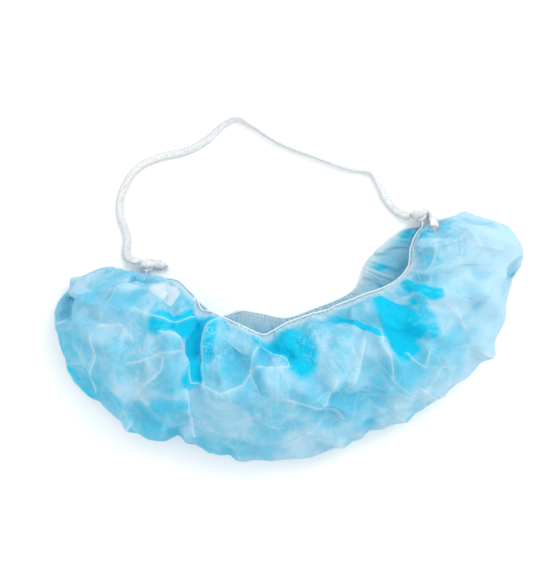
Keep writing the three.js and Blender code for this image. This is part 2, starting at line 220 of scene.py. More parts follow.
cord_middle = evenly(curve_through(CORD_ROUTE, 40), CORD_POINTS)
cord_run = run_along(cord_middle)
cord_length = cord_run[-1]
cord_share = cord_run / cord_length
twist = np.radians(np.interp(cord_share, CORD_TWIST[:, 0], CORD_TWIST[:, 1]))
twist = np.convolve(np.pad(twist, 20, mode="edge"), np.ones(41) / 41, mode="valid")
half_wide, half_thick = CORD_WIDTH / 2, CORD_THICKNESS / 2
standing = np.hypot(half_wide * np.sin(twist), half_thick * np.cos(twist))
on_table = np.clip((0.0032 - cord_middle[:, 2]) / 0.0012, 0, 1)
cord_middle[:, 2] += on_table * (standing + OVER_TABLE - cord_middle[:, 2])


def knitted(distance, a):
    """Eight lengthwise ribs, and rows of stitches that lean the other way on every second rib."""
    rib = np.cos(8 * a)
    row = np.cos(2 * np.pi * distance / STITCH_ROW + 1.6 * np.sign(np.sin(4 * a)))
    return 0.00006 * rib + 0.00005 * row


def band_edge_shade(path_points, sides):
    """Where the band gets painted shade: 1 on its two narrow edges and 0 on its flat sides, the square of the
    cosine.
    """
    a = np.linspace(0, 2 * np.pi, sides, endpoint=False)
    return np.cos(a) ** 2 + np.zeros((path_points, 1))


ends = np.clip(np.minimum(cord_share, 1 - cord_share) / 0.012, 0, 1) ** 0.5
cord = mesh_from_grid("head_cord", tube_along(
    cord_middle, half_wide * (0.80 + 0.20 * ends), half_thick * (0.9 + 0.1 * ends), CORD_SIDES, twist,
    first_side=(0, 1, 0), swell=knitted), round_closed=True, capped=True)
paint(cord, "band_edge_shade", band_edge_shade(CORD_POINTS, CORD_SIDES))
print("cord length:", round(cord_length, 4), "m")

# %% [markdown]
# ## The cloth's resting shape
#
# The pouch starts as a strip of cloth about 460 mm long and 200 mm wide whose two long edges are gathered
# and brought together. Air is caught inside, so the strip goes up from the upper edge of the mouth, over
# the top, round the puffed outside and back underneath to the lower edge. This is the same table that
# the solid is built from: sections from the left end to the right one.

# %% Sections across the pouch
POUCH_WIDTH, POUCH_DEPTH, POUCH_HEIGHT = 0.260, 0.137, 0.048
CLOTH_LENGTH, CLOTH_BREADTH = 0.460, 0.200
LOWER_EDGE_RISE = 0.0022
TABLE_GAP = 0.0003
SHIFT_TO_FRAME = np.array([0.000541, -0.002495, 0.0])
# upper edge x, y, lower edge x, y, fold x, y, crown and mouth, as shares of the pouch's half width and
# half depth and of its height.
SECTIONS = np.array([
    (-0.62, 0.47, -0.619, 0.469, -0.676, 0.5, 0.25, 0.17),
    (-0.59, 0.478, -0.586, 0.477, -0.815, 0.52, 0.45, 0.21),
    (-0.555, 0.47, -0.552, 0.478, -0.95, 0.37, 0.66, 0.25),
    (-0.516, 0.448, -0.508, 0.466, -0.996, 0.136, 0.82, 0.3),
    (-0.472, 0.43, -0.463, 0.454, -0.941, -0.216, 0.91, 0.34),
    (-0.425, 0.345, -0.419, 0.365, -0.798, -0.56, 0.95, 0.37),
    (-0.374, 0.257, -0.366, 0.277, -0.635, -0.81, 0.93, 0.4),
    (-0.311, 0.161, -0.305, 0.189, -0.445, -0.835, 0.9, 0.42),
    (-0.218, 0.08, -0.205, 0.189, -0.273, -0.96, 0.94, 0.43),
    (-0.112, 0.004, -0.116, 0.161, -0.083, -1.0, 0.98, 0.43),
    (-0.011, 0.092, -0.011, 0.128, 0.129, -0.965, 1.0, 0.43),
    (0.112, 0.177, 0.108, 0.205, 0.311, -0.832, 0.97, 0.42),
    (0.222, 0.249, 0.214, 0.285, 0.514, -0.652, 0.95, 0.42),
    (0.315, 0.321, 0.281, 0.369, 0.683, -0.44, 0.93, 0.41),
    (0.387, 0.365, 0.307, 0.466, 0.848, -0.176, 0.9, 0.39),
    (0.459, 0.442, 0.324, 0.562, 0.925, 0.2, 0.84, 0.36),
    (0.506, 0.554, 0.357, 0.65, 0.992, 0.6, 0.74, 0.32),
    (0.514, 0.682, 0.413, 0.747, 0.944, 0.85, 0.6, 0.27),
    (0.539, 0.803, 0.484, 0.847, 0.785, 0.96, 0.44, 0.21),
    (0.575, 0.88, 0.574, 0.879, 0.628, 0.93, 0.25, 0.17),
])
# out, up: the way round a section, as shares of its reach and of its crown.
ROUND_THE_SECTION = np.array([
    (0.13, 0.76), (0.36, 1.00), (0.64, 0.93), (0.89, 0.66), (1.00, 0.34), (0.93, 0.06), (0.74, 0.00),
    (0.40, 0.00), (0.10, 0.00),
])


def smooth_sheet(along_steps, across_shares):
    """A grid over the cloth: for each share of its length, the section's curve from the upper edge to
    the lower one, cut at the shares across. Also gives each section's length."""
    dense = curve_through(SECTIONS, 40, 0.0)
    at = np.linspace(0, len(dense) - 1, along_steps + 1)
    row = np.stack([np.interp(at, np.arange(len(dense)), dense[:, k]) for k in range(8)], axis=1)
    half = np.array([POUCH_WIDTH / 2, POUCH_DEPTH / 2])
    upper, lower, fold = row[:, None, 0:2] * half, row[:, None, 2:4] * half, row[:, None, 4:6] * half
    crown, mouth = row[:, 6:7] * POUCH_HEIGHT, row[:, 7:8] * POUCH_HEIGHT
    level = np.concatenate([upper, upper + ROUND_THE_SECTION[:, 0:1] * (fold - upper), lower], axis=1)
    height = np.concatenate([mouth, ROUND_THE_SECTION[:, 1] * crown, 0 * crown + LOWER_EDGE_RISE], axis=1)
    points = np.concatenate([level, height[..., None]], axis=2)
    curves = curve_through(points, 24)
    sheet = np.stack([at_shares(curve, across_shares) for curve in curves])
    return sheet + SHIFT_TO_FRAME, np.linalg.norm(np.diff(curves, axis=1), axis=2).sum(axis=1)


def normals_of(sheet):
    """The outward direction: the way across the cloth crossed with the way along it."""
    out = np.cross(np.gradient(sheet, axis=1), np.gradient(sheet, axis=0))
    return out / np.linalg.norm(out, axis=2, keepdims=True)


ALONG, ACROSS = 328, 150
# Two thirds of the lines across lie on the upper layer, where the fine creases are seen.
UPPER_LAYER = (100, 0.53)
across_lines = np.interp(np.arange(ACROSS + 1), [0, UPPER_LAYER[0], ACROSS], [0, UPPER_LAYER[1], 1])
along_share = np.linspace(0, 1, ALONG + 1)[:, None] + np.zeros(ACROSS + 1)
across_share = across_lines[None, :] + np.zeros((ALONG + 1, 1))
flat_along, flat_across = along_share * CLOTH_LENGTH, across_share * CLOTH_BREADTH
smooth, section_length = smooth_sheet(ALONG, across_lines)
# Along the left third the lower edge has slipped back under the upper one, so that it doesn't show.
slipped = np.clip((0.41 - along_share) / 0.05, 0, 1) * np.clip((along_share - 0.05) / 0.05, 0, 1)
slipped *= np.clip((across_share - 0.85) / 0.15, 0, 1)
smooth[..., :2] += slipped[..., None] * 1.7 * (smooth[:, :1, :2] - smooth[:, -1:, :2])
print("sections are", (section_length * 1000).round()[[0, 82, 164, 246, 328]], "mm long")

# %% [markdown]
# ## The main folds
#
# The cloth has been folded flat in its packet, so it keeps sharp folds between softer swells. The places
# of the large ones are again the solid's own, apart from the last two rows, which only this picture has.
# Each fold is a straight line over the flat cloth, and its height falls away to both sides of the line.
# Here the fall is steeper near the line than in the solid, so that the fold keeps its edge.

# %% Folds
# start and end (share of length, share of breadth), rise as a share of the pouch's height, and half the
# fold's width as a share of the breadth.
FOLDS = np.array([
    (0.326, 0.03, 0.35, 0.17, -0.17, 0.085), (0.35, 0.17, 0.372, 0.3, -0.12, 0.075),
    (0.25, 0.17, 0.3, 0.2, 0.07, 0.05), (0.3, 0.2, 0.345, 0.33, 0.09, 0.055),
    (0.235, 0.1, 0.3, 0.13, -0.09, 0.06), (0.18, 0.39, 0.232, 0.33, 0.08, 0.05),
    (0.232, 0.33, 0.268, 0.42, 0.08, 0.05), (0.19, 0.47, 0.262, 0.5, -0.09, 0.055),
    (0.11, 0.2, 0.165, 0.34, -0.08, 0.055), (0.12, 0.42, 0.2, 0.24, 0.07, 0.045),
    (0.283, 0.34, 0.315, 0.47, -0.1, 0.055), (0.32, 0.46, 0.372, 0.44, 0.08, 0.045),
    (0.385, 0.1, 0.43, 0.14, 0.09, 0.11), (0.38, 0.3, 0.446, 0.25, 0.07, 0.045),
    (0.4, 0.36, 0.45, 0.33, -0.09, 0.055), (0.48, 0.06, 0.512, 0.13, -0.13, 0.075),
    (0.512, 0.13, 0.545, 0.17, -0.09, 0.06), (0.455, 0.13, 0.478, 0.21, 0.07, 0.04),
    (0.478, 0.21, 0.525, 0.26, 0.08, 0.042), (0.525, 0.26, 0.57, 0.37, 0.08, 0.042),
    (0.435, 0.4, 0.455, 0.5, -0.07, 0.05), (0.5, 0.37, 0.53, 0.5, -0.09, 0.055),
    (0.6, 0.16, 0.567, 0.27, 0.09, 0.045), (0.59, 0.03, 0.655, 0.13, -0.1, 0.05),
    (0.61, 0.27, 0.6, 0.42, -0.1, 0.06), (0.65, 0.17, 0.652, 0.28, 0.08, 0.042),
    (0.652, 0.28, 0.64, 0.4, 0.08, 0.042), (0.735, 0.12, 0.69, 0.22, -0.14, 0.08),
    (0.69, 0.22, 0.672, 0.34, -0.09, 0.06), (0.75, 0.31, 0.722, 0.46, -0.1, 0.06),
    (0.77, 0.16, 0.8, 0.3, 0.08, 0.048), (0.8, 0.3, 0.78, 0.47, 0.08, 0.048),
    (0.822, 0.2, 0.85, 0.36, -0.09, 0.055), (0.87, 0.24, 0.905, 0.4, 0.06, 0.045),
    (0.768, 0.4, 0.772, 0.56, -0.12, 0.13), (0.405, 0.5, 0.455, 0.5, 0.08, 0.11),
])


def distance_to_line(start, end):
    """How far each place on the flat cloth is from the straight line between two of its places, in
    metres. The nearest point of the line is found by projecting on it and stopping at its ends."""
    step = end - start
    share = ((flat_along - start[0]) * step[0] + (flat_across - start[1]) * step[1]) / (step @ step)
    share = np.clip(share, 0, 1)
    return np.hypot(flat_along - start[0] - share * step[0], flat_across - start[1] - share * step[1])


flat_size = np.array([CLOTH_LENGTH, CLOTH_BREADTH])
fold_rise = np.zeros_like(flat_along)
for *ends, rise, width in FOLDS:
    away = distance_to_line(*np.reshape(ends, (2, 2)) * flat_size)
    near = np.clip(1 - away / (width * CLOTH_BREADTH), 0, 1)
    soft = near * near * (3 - 2 * near)
    fold_rise += rise * POUCH_HEIGHT * (0.45 * near + 0.55 * soft) * (1.0 if rise > 0 else 0.65)
folded = smooth + normals_of(smooth) * fold_rise[..., None]
folded[..., 2] = np.maximum(folded[..., 2], TABLE_GAP)
print("folds in mm, highest and deepest:", round(1000 * fold_rise.max(), 1), round(1000 * fold_rise.min(), 1))

# %% [markdown]
# ## Sharp creases
#
# Where the packet pressed the cloth, it keeps thin sharp creases: a rounded outline left of the middle,
# a star beside it, a hook and a ring on the left lobe, and a few lines to the right. They are narrow
# tents, mostly about a millimetre high, and light comes through their tips, so they show as pale lines.
# The last rows are up to 4 mm high or deep and nick the outline, where a crease runs over the puffed rim.
#
# A line thinner than the grid's squares can't be painted on the grid's points. But a distance can: it
# changes evenly from point to point, with one sign on each side of the line, and the material draws the
# line where it passes through nought.

# %% Creases
# rise in millimetres, then the places (share of length, share of breadth) that the bent line passes.
CREASES = [
    (1.6, [(0.378, 0.28), (0.366, 0.18), (0.362, 0.1), (0.384, 0.053), (0.409, 0.033)]),
    (1.8, [(0.269, 0.2), (0.291, 0.187), (0.322, 0.18), (0.341, 0.227), (0.356, 0.287)]),
    (1.4, [(0.356, 0.287), (0.409, 0.267), (0.438, 0.227)]),
    (1.2, [(0.438, 0.227), (0.447, 0.187), (0.466, 0.04), (0.512, 0.18)]),
    (1.0, [(0.447, 0.187), (0.459, 0.167), (0.512, 0.187)]), (0.8, [(0.447, 0.187), (0.463, 0.233)]),
    (1.2, [(0.353, 0.307), (0.381, 0.453)]), (1.2, [(0.259, 0.327), (0.291, 0.233), (0.322, 0.193)]),
    (1.3, [(0.3, 0.24), (0.306, 0.267), (0.291, 0.36), (0.291, 0.387), (0.309, 0.38)]),
    (1.2, [(0.206, 0.36), (0.228, 0.4), (0.237, 0.48), (0.25, 0.513)]),
    (1.0, [(0.197, 0.327), (0.212, 0.273), (0.241, 0.273)]),
    (1.0, [(0.206, 0.213), (0.269, 0.167), (0.331, 0.033)]),
    (1.2, [(0.634, 0.18), (0.606, 0.253), (0.591, 0.287)]), (0.9, [(0.572, 0.26), (0.547, 0.32)]),
    (1.0, [(0.5, 0.26), (0.541, 0.32), (0.566, 0.387)]),
    (1.2, [(0.662, 0.18), (0.65, 0.22), (0.65, 0.26), (0.637, 0.327)]),
    (1.1, [(0.669, 0.287), (0.678, 0.36), (0.697, 0.313)]),
    (1.0, [(0.909, 0.14), (0.863, 0.12), (0.828, 0.113)]),
    (1.0, [(0.903, 0.0), (0.881, 0.047), (0.906, 0.153)]),
    (0.9, [(0.772, 0.227), (0.766, 0.273), (0.753, 0.333)]),
    (-1.2, [(0.825, 0.267), (0.825, 0.327), (0.834, 0.407)]), (0.9, [(0.659, 0.42), (0.666, 0.513)]),
    (0.8, [(0.938, 0.267), (0.872, 0.273), (0.863, 0.353)]), (-4.0, [(0.366, 0.6), (0.352, 0.45)]),
    (3.2, [(0.22, 0.53), (0.247, 0.555)]), (3.0, [(0.088, 0.5), (0.09, 0.56)]),
    (3.0, [(0.552, 0.48), (0.556, 0.56)]), (-3.4, [(0.59, 0.46), (0.588, 0.56)]),
    (2.6, [(0.622, 0.48), (0.626, 0.56)]), (1.8, [(0.671, 0.48), (0.675, 0.56)]),
    (3.8, [(0.738, 0.44), (0.74, 0.54)]), (2.0, [(0.3, 0.48), (0.303, 0.57)]),
    (2.2, [(0.168, 0.47), (0.17, 0.56)]), (-2.2, [(0.425, 0.47), (0.43, 0.56)]),
    (-2.0, [(0.14, 0.4), (0.128, 0.5)]),
]


class NearestLines:
    """For each place on the flat cloth, the nearest of the lines that were added. side is the distance
    to it in millimetres, negative on its right hand. strength is the line's own, and falls to nought
    3 mm away, so that a change of sign between two lines shows nothing."""

    def __init__(self):
        self.away = np.full_like(flat_along, np.inf)
        self.side = np.full_like(flat_along, 9.0)
        self.strength = np.zeros_like(flat_along)

    def add(self, start, end, away, strength):
        step = end - start
        turn = step[0] * (flat_across - start[1]) - step[1] * (flat_along - start[0])
        fading = strength * np.clip(1.25 - away / 0.0025, 0, 1)
        nearer = (away < self.away) | ((fading > 0) & (self.strength <= 0))
        self.away = np.where(nearer, away, self.away)
        self.side = np.where(nearer, np.where(turn >= 0, 1000, -1000) * away, self.side)
        self.strength = np.where(nearer, fading, self.strength)


crease_rise = np.zeros_like(flat_along)
placed_lines = NearestLines()
for rise, places in CREASES:
    bends = np.array(places) * flat_size
    for start, end in zip(bends, bends[1:]):
        away = distance_to_line(start, end)
        tent = rise / 1000 * np.maximum(0, 1 - away / (0.0032 + 0.0007 * abs(rise)))
        crease_rise = np.where(np.abs(tent) > np.abs(crease_rise), tent, crease_rise)
        if rise > 0:
            placed_lines.add(start, end, away, min(1.0, 0.4 + 0.4 * rise))
# Near the left tie a corner of the cloth lies double: its corners, as shares of length and breadth.
DOUBLED = np.array([
    (0.18, 0.148), (0.19, 0.095), (0.223, 0.03), (0.246, 0.045), (0.252, 0.095), (0.229, 0.135),
])
DOUBLED_RISE = 0.0006
corners = DOUBLED * flat_size
edges = np.roll(corners, -1, axis=0) - corners
inward = [(e[0] * (flat_across - c[1]) - e[1] * (flat_along - c[0])) / np.linalg.norm(e)
          for c, e in zip(corners, edges)]
doubled = 1000 * np.minimum.reduce(inward)
crease_rise += DOUBLED_RISE * np.clip(doubled, 0, 1)
cell_area = np.gradient(flat_along, axis=0) * np.gradient(flat_across, axis=1)
print("doubled cloth:", round(float(cell_area[doubled > 0].sum() * 1e6)), "mm2")
print(len(CREASES), "bent creases, up to", round(1000 * crease_rise.max(), 1), "mm high")

# %% [markdown]
# ## Crumple
#
# Non-woven cloth behaves more like paper than like woven cloth: it buckles into flat facets that meet in
# straight creases. A net of creases does this. Its corners are the points of a shaken grid, each joined
# to its nearest neighbours by a tent-shaped ridge or valley. A coarse and a fine net give facets of two
# sizes, and a third one makes the puffed rim ragged.

# %% A net of creases
LINKS = 3


def crease_net(spacing, rise, width, seed, lines):
    """The height of straight tent-shaped creases between the nearest points of a shaken grid. The tops
    of its ridges are added to lines."""
    rng = np.random.default_rng(seed)
    columns, rows = int(CLOTH_LENGTH / spacing) + 1, int(CLOTH_BREADTH / spacing) + 1
    x, y = np.meshgrid((np.arange(columns) + 0.5) / columns, (np.arange(rows) + 0.5) / rows, indexing="ij")
    corner = np.stack([x.ravel() * CLOTH_LENGTH, y.ravel() * CLOTH_BREADTH], axis=1)
    corner += rng.uniform(-0.42, 0.42, corner.shape) * spacing
    gaps = np.linalg.norm(corner[:, None] - corner[None], axis=2)
    near = np.argsort(gaps, axis=1)[:, 1:LINKS + 1]
    pairs = np.stack([np.repeat(np.arange(len(corner)), LINKS), near.ravel()], axis=1)
    pairs = np.unique(np.sort(pairs, axis=1), axis=0)
    pairs = pairs[rng.random(len(pairs)) < 0.85]
    height = rise * rng.uniform(0.35, 1.0, len(pairs)) * np.where(rng.random(len(pairs)) < 0.55, 1, -1)
    widths = width * rng.uniform(0.6, 1.3, len(pairs))
    total = np.zeros_like(flat_along)
    for (a, b), h, w in zip(pairs, height, widths):
        away = distance_to_line(corner[a], corner[b])
        total += h * np.maximum(0, 1 - away / w)
        if h > 0:
            lines.add(corner[a], corner[b], away, h / rise)
    return total


net_lines = NearestLines()
coarse = crease_net(0.036, 0.0026, 0.012, 4, net_lines)
fine = crease_net(0.016, 0.0006, 0.005, 9, net_lines)
ragged = crease_net(0.024, 0.0024, 0.008, 15, NearestLines())
from_edge = np.minimum(flat_across, CLOTH_BREADTH - flat_across)
from_end = np.minimum(flat_along, CLOTH_LENGTH - flat_along)
rim = np.exp(-((across_share - 0.50) / 0.12) ** 2)
inside = np.clip(from_edge / 0.012, 0, 1) * np.clip(from_end / 0.020, 0, 1)
print("crumple in mm:", [round(1000 * np.abs(net).max(), 1) for net in (coarse, fine, ragged)])

# %% [markdown]
# ## Gathering the cloth
#
# Both long edges are sewn to a stretched elastic, which then draws them in to less than half their
# length, and the spare cloth has to buckle. This is worked out as a sheet of springs. Each spring wants the
# length that it has in the folded shape and some more, most of it near the edges. That is far less than
# the real cloth has to spare: with more, dark slits opened between the pleats of the mouth. Every third
# point of the edge is held by a stitch, and the table keeps the cloth up. All springs of one direction
# are moved at once, as whole arrays. A weak pull brings the sheet's large shape back, and only that, so
# the pleats stay.

# %% Gathering
def softened(change, along_width, across_width):
    """The large part of a change over the grid: its fine waves are taken off in its spectrum, on a grid
    mirrored in both directions so that the edges keep their values."""
    big = np.concatenate([change, change[::-1]], axis=0)
    big = np.concatenate([big, big[:, ::-1]], axis=1)
    fi = np.fft.fftfreq(big.shape[0])[:, None]
    fj = np.fft.rfftfreq(big.shape[1])[None, :]
    keep = np.exp(-2 * np.pi**2 * ((fi * along_width) ** 2 + (fj * across_width) ** 2))
    waves = np.fft.rfft2(big, axes=(0, 1)) * keep[..., None]
    return np.fft.irfft2(waves, s=big.shape[:2], axes=(0, 1))[:change.shape[0], :change.shape[1]]


ACROSS_SPARE = 1.02


def gathered(start, target, spare, rounds):
    """Moves the sheet until its springs have their lengths. spare says how much longer the cloth is than
    the target, at each point, along the edge. Each round moves every point by the mean of what its
    springs ask for, and every fifth one takes off part of the large change."""
    rows, columns = start.shape[:2]
    held = np.zeros((rows, columns), bool)
    held[::3, 0] = held[::3, -1] = held[0] = held[-1] = True
    free = (~held)[..., None].astype(float)
    along = np.linalg.norm(np.gradient(target, axis=0), axis=2)
    across = np.linalg.norm(np.gradient(target, axis=1), axis=2)
    springs = []
    for di, dj, stiffness in ((1, 0, 1.0), (0, 1, 1.0), (1, 1, 0.5), (1, -1, 0.5), (2, 0, 0.12), (0, 2, 0.12),
                              (4, 0, 0.08), (0, 4, 0.08), (3, 3, 0.06), (3, -3, 0.06)):
        a = (slice(0, rows - di), slice(max(-dj, 0), columns - max(dj, 0)))
        b = (slice(di, rows), slice(max(dj, 0), columns + min(dj, 0)))
        wide = di**2 * (along[a] + along[b]) ** 2
        high = dj**2 * (across[a] + across[b]) ** 2
        more = np.sqrt((wide * ((spare[a] + spare[b]) / 2) ** 2 + high * ACROSS_SPARE**2) / (wide + high))
        rest = np.linalg.norm(target[b] - target[a], axis=2) * more
        springs.append((a, b, rest, stiffness))
    sheet = start.copy()
    for step in range(rounds):
        move = np.zeros_like(sheet)
        weight = np.zeros((rows, columns, 1))
        for a, b, rest, stiffness in springs:
            d = sheet[b] - sheet[a]
            length = np.sqrt((d * d).sum(axis=2)) + 1e-9
            pull = d * (0.5 * stiffness * (1 - rest / length))[..., None]
            move[a] += pull
            move[b] -= pull
            weight[a] += stiffness
            weight[b] += stiffness
        sheet += free * move / weight * 1.6
        if step % 5 == 4:
            sheet -= free * 0.25 * softened(sheet - target, 22, 24)
        sheet[..., 2] = np.maximum(sheet[..., 2], TABLE_GAP)
    return sheet


spare = 1.01 + 0.12 * np.exp(-from_edge / 0.012)
start = folded + normals_of(folded) * ((coarse + 0.5 * fine) * inside)[..., None]
cloth = gathered(start, folded, spare, 200)
cloth += normals_of(cloth) * ((0.4 * coarse + fine + 0.5 * rim * ragged + crease_rise) * inside)[..., None]
cloth[..., 2] = np.maximum(cloth[..., 2], TABLE_GAP)
moved = np.linalg.norm(cloth - folded, axis=2)
print("cloth moved in mm, mean and most:", round(1000 * moved.mean(), 2), round(1000 * moved.max(), 1))

# %% [markdown]
# ## What the cloth's colour follows
#
# The cloth is so thin that light comes through it. Its colour has light and shade painted into it: it is
# painted pale where one layer faces the light, and a deep cyan in the hollows, where the light has gone
# through more of it. So the piece carries painted numbers: relief, how far a place stands out of its
# surroundings, which paints light on the ridges and shade in the dips; hollow and around, the deep places
# and the wider ground about them; speckled, a lace of fine creases; doubled, the distance into the
# doubled corner, which gets a painted highlight; a number for the painted light on the right end, the rim,
# the mouth and two more places; hem, the sewn edge; and for the placed creases and the crumple the signed
# distance to the nearest line and its strength, which paint pale lines and paler and deeper slopes.

# %% Numbers for the cloth's colour
# Hollows, painted a deep cyan for light that has gone through more of the cloth: start and end (share
# of length, share of breadth), strength, and half width as a share of the breadth.
HOLLOWS = np.array([
    (0.35, 0.05, 0.356, 0.17, 1.0, 0.06), (0.356, 0.17, 0.359, 0.26, 1.0, 0.042),
    (0.253, 0.19, 0.306, 0.11, 0.9, 0.035), (0.306, 0.11, 0.355, 0.06, 1.0, 0.05),
    (0.475, 0.03, 0.509, 0.07, 1.0, 0.055), (0.509, 0.07, 0.535, 0.16, 1.0, 0.065),
    (0.709, 0.1, 0.691, 0.18, 1.0, 0.055), (0.691, 0.18, 0.675, 0.26, 1.0, 0.045),
    (0.722, 0.13, 0.704, 0.22, 0.9, 0.05), (0.75, 0.15, 0.716, 0.25, 0.75, 0.04),
    (0.784, 0.06, 0.778, 0.18, 0.85, 0.03), (0.591, 0.01, 0.625, 0.09, 1.0, 0.014),
    (0.625, 0.09, 0.656, 0.19, 1.0, 0.014), (0.372, 0.08, 0.405, 0.17, 0.5, 0.055),
    (0.325, 0.37, 0.353, 0.36, 0.6, 0.035), (0.08, 0.29, 0.087, 0.33, 0.5, 0.025),
    (0.247, 0.35, 0.263, 0.33, 0.4, 0.03), (0.159, 0.33, 0.188, 0.31, 0.35, 0.045),
    (0.928, 0.06, 0.934, 0.11, 0.8, 0.02), (0.935, 0.21, 0.955, 0.23, 0.5, 0.03),
    (0.61, 0.3, 0.655, 0.36, 0.4, 0.06), (0.213, 0.49, 0.33, 0.5, 0.5, 0.1),
    (0.222, 0.53, 0.247, 0.56, 0.7, 0.022), (0.93, 0.04, 0.927, 0.12, 0.55, 0.04),
    (0.884, 0.08, 0.89, 0.14, 0.45, 0.045), (0.848, 0.12, 0.862, 0.09, 0.55, 0.03),
    (0.7, 0.95, 0.9, 0.94, 0.32, 0.09), (0.797, 0.96, 0.808, 0.95, 0.95, 0.016),
    (0.93, 0.96, 0.955, 0.98, 0.8, 0.03), (0.712, 0.22, 0.724, 0.3, 0.4, 0.06),
])
# Where the cloth shows a net of fine white creases.
SPECKLED = np.array([
    (0.372, 0.07, 0.374, 0.18, 0.9, 0.035), (0.395, 0.07, 0.4, 0.15, 0.9, 0.035),
    (0.235, 0.28, 0.25, 0.38, 0.55, 0.06), (0.285, 0.26, 0.28, 0.32, 0.5, 0.04),
    (0.56, 0.12, 0.585, 0.22, 0.5, 0.06), (0.905, 0.1, 0.88, 0.18, 0.6, 0.06),
])


def patches(rows):
    """The strongest of the rows at each place: full near the row's line, and nought 1.6 widths away."""
    total = np.zeros_like(flat_along)
    for *ends, strength, width in rows:
        away = distance_to_line(*np.reshape(ends, (2, 2)) * flat_size)
        near = np.clip(1.6 - away / (width * CLOTH_BREADTH), 0, 1)
        total = np.maximum(total, strength * near * near * (3 - 2 * near))
    return total


hollow = patches(HOLLOWS)
AROUND_WIDER = 2.6
around = patches(HOLLOWS * np.array([1, 1, 1, 1, 1, AROUND_WIDER]))
speckled = patches(SPECKLED)
# Painted light and shade: the relief makes the cloth paler where it stands out of its surroundings and deeper
# where it sinks in.
face = normals_of(folded)
change = ((cloth - folded) * face).sum(axis=2)
relief = change - softened(change[..., None], 9, 9)[..., 0]
relief = np.clip(relief / 0.0022, -1, 1)
hem = np.exp(-(from_edge / 0.0050) ** 2)
# Painted light: the right end, which faces the lamp, is painted paler. So are the rim, most of all on the
# left, the shaded inside of the mouth and two more places.
to_right = np.clip((along_share - 0.60) / 0.18, 0, 1)
outer = np.exp(-((across_share - 0.5) / 0.25) ** 2)
to_left = np.clip((0.26 - along_share) / 0.12, 0, 1)
painted_light = to_right * to_right * (3 - 2 * to_right) * (0.35 + 0.55 * outer) + (0.15 + 0.35 * to_left) * rim
in_mouth = np.exp(-((1 - across_share) / 0.10) ** 2) * np.clip((0.60 - along_share) / 0.05, 0, 1)
PAINTED_LIGHT_PLACES = [(0.255, 0.26, 0.265, 0.34, 1.0, 0.1), (0.385, 0.24, 0.4, 0.26, 1.0, 0.06)]
painted_light += 0.3 * in_mouth + 0.35 * patches(PAINTED_LIGHT_PLACES)
print("hollow cover:", round(float((hollow > 0.5).mean()), 3))

# %% The pouch
UV_PER_METRE = 10
CLOTH_THICKNESS = 0.00028
flat_uv = np.stack([flat_along, flat_across], axis=2) * UV_PER_METRE
pouch = mesh_from_grid("cloth_pouch", cloth, uv=flat_uv)
CLOTH_NUMBERS = {
    "relief": relief, "hollow": hollow, "around": around, "speckled": speckled, "doubled": doubled,
    "painted_light": painted_light, "hem": hem,
    "line_side": placed_lines.side, "line_strength": placed_lines.strength,
    "net_side": net_lines.side, "net_strength": net_lines.strength * inside,
}
for name, values in CLOTH_NUMBERS.items():
    paint(pouch, name, values)
wall = pouch.modifiers.new("wall", "SOLIDIFY")
wall.thickness = CLOTH_THICKNESS
wall.offset = -1.0
step_along = np.linalg.norm(np.diff(cloth, axis=0), axis=2)
step_across = np.linalg.norm(np.diff(cloth, axis=1), axis=2)
cloth_area = float((step_along[:, :-1] * step_across[:-1]).sum())
print("cloth area:", round(cloth_area, 4), "m2, box", cloth.min(axis=(0, 1)), cloth.max(axis=(0, 1)))

# %% [markdown]
# ## The elastic round the mouth
#
# A thin covered elastic is sewn along both edges of the cloth, and makes a small eye at each end of the
# mouth, where the cord is tied. It is a round tube whose covering thread is wound round it, so its
# surface climbs in a fine screw. A second thread zigzags over the elastic and into the cloth: that is the
# overlock seam.

# %% Mouth elastic
ELASTIC_RADIUS = 0.00045
EYE_RADIUS = 0.0029
THREAD_RADIUS, THREAD_SIDES = 0.00009, 4
LEFT_TIE = np.array([-0.078909, 0.035453, 0.005375])
LEFT_OUT, LEFT_TO_CORD = np.array([0.079, 0.997, 0.0]), np.array([-0.997, 0.079, 0.0])
RIGHT_TIE = np.array([0.072725, 0.063540, 0.005162])
RIGHT_OUT, RIGHT_TO_CORD = np.array([-0.344, 0.939, 0.0]), np.array([-0.939, -0.344, 0.0])
UP = np.array([0.0, 0.0, 1.0])


def on_edge(column):
    """The line along one edge of the folded cloth, a little proud of it: edge + outward * rise."""
    return folded[:, column] + normals_of(folded)[:, column] * 0.0003


def eye(tie, out, from_above):
    """The small loop at one end: an arc of 220 degrees in the upright plane that points out of the cloth."""
    turn = np.radians(220) * (np.linspace(0, 1, 9) - 0.5)
    outward, upward = EYE_RADIUS * (np.cos(turn) - 1), -from_above * EYE_RADIUS * np.sin(turn)
    return tie + np.outer(outward, out) + np.outer(upward, UP)


upper_edge, lower_edge = on_edge(0), on_edge(-1)
loop = np.concatenate([
    upper_edge[4:-4:8], eye(RIGHT_TIE, RIGHT_OUT, 1), lower_edge[-5:4:-8],
    eye(LEFT_TIE, LEFT_OUT, -1), upper_edge[4:5],
])
elastic_middle = evenly(curve_through(loop, 12), 1101)[:-1]
elastic_middle[:, 2] = np.maximum(elastic_middle[:, 2], ELASTIC_RADIUS + 0.0001)
elastic_length = run_along(np.concatenate([elastic_middle, elastic_middle[:1]]))[-1]
COVER_PITCH = elastic_length / round(elastic_length / 0.0016)


def covered(distance, a):
    """A thread wound round the elastic: a wave that moves round as it goes along."""
    return 0.00008 * np.cos(2 * a - 2 * np.pi * distance / COVER_PITCH)


# The section comes back turned by some angle, so that angle is undone evenly round the loop.
tangent, side, up = directions_along(elastic_middle, UP)
turned = math.atan2(side[0] @ up[-1], side[0] @ side[-1])
mouth_elastic = mesh_from_grid("covered_elastic", tube_along(
    elastic_middle, ELASTIC_RADIUS, ELASTIC_RADIUS, 10, turned * np.linspace(0, 1, len(elastic_middle)),
    first_side=UP, swell=covered), round_closed=True, looped=True)
print("mouth elastic:", round(elastic_length, 3), "m round")

# %% Overlock seam
SEAM_PITCH = 0.0022


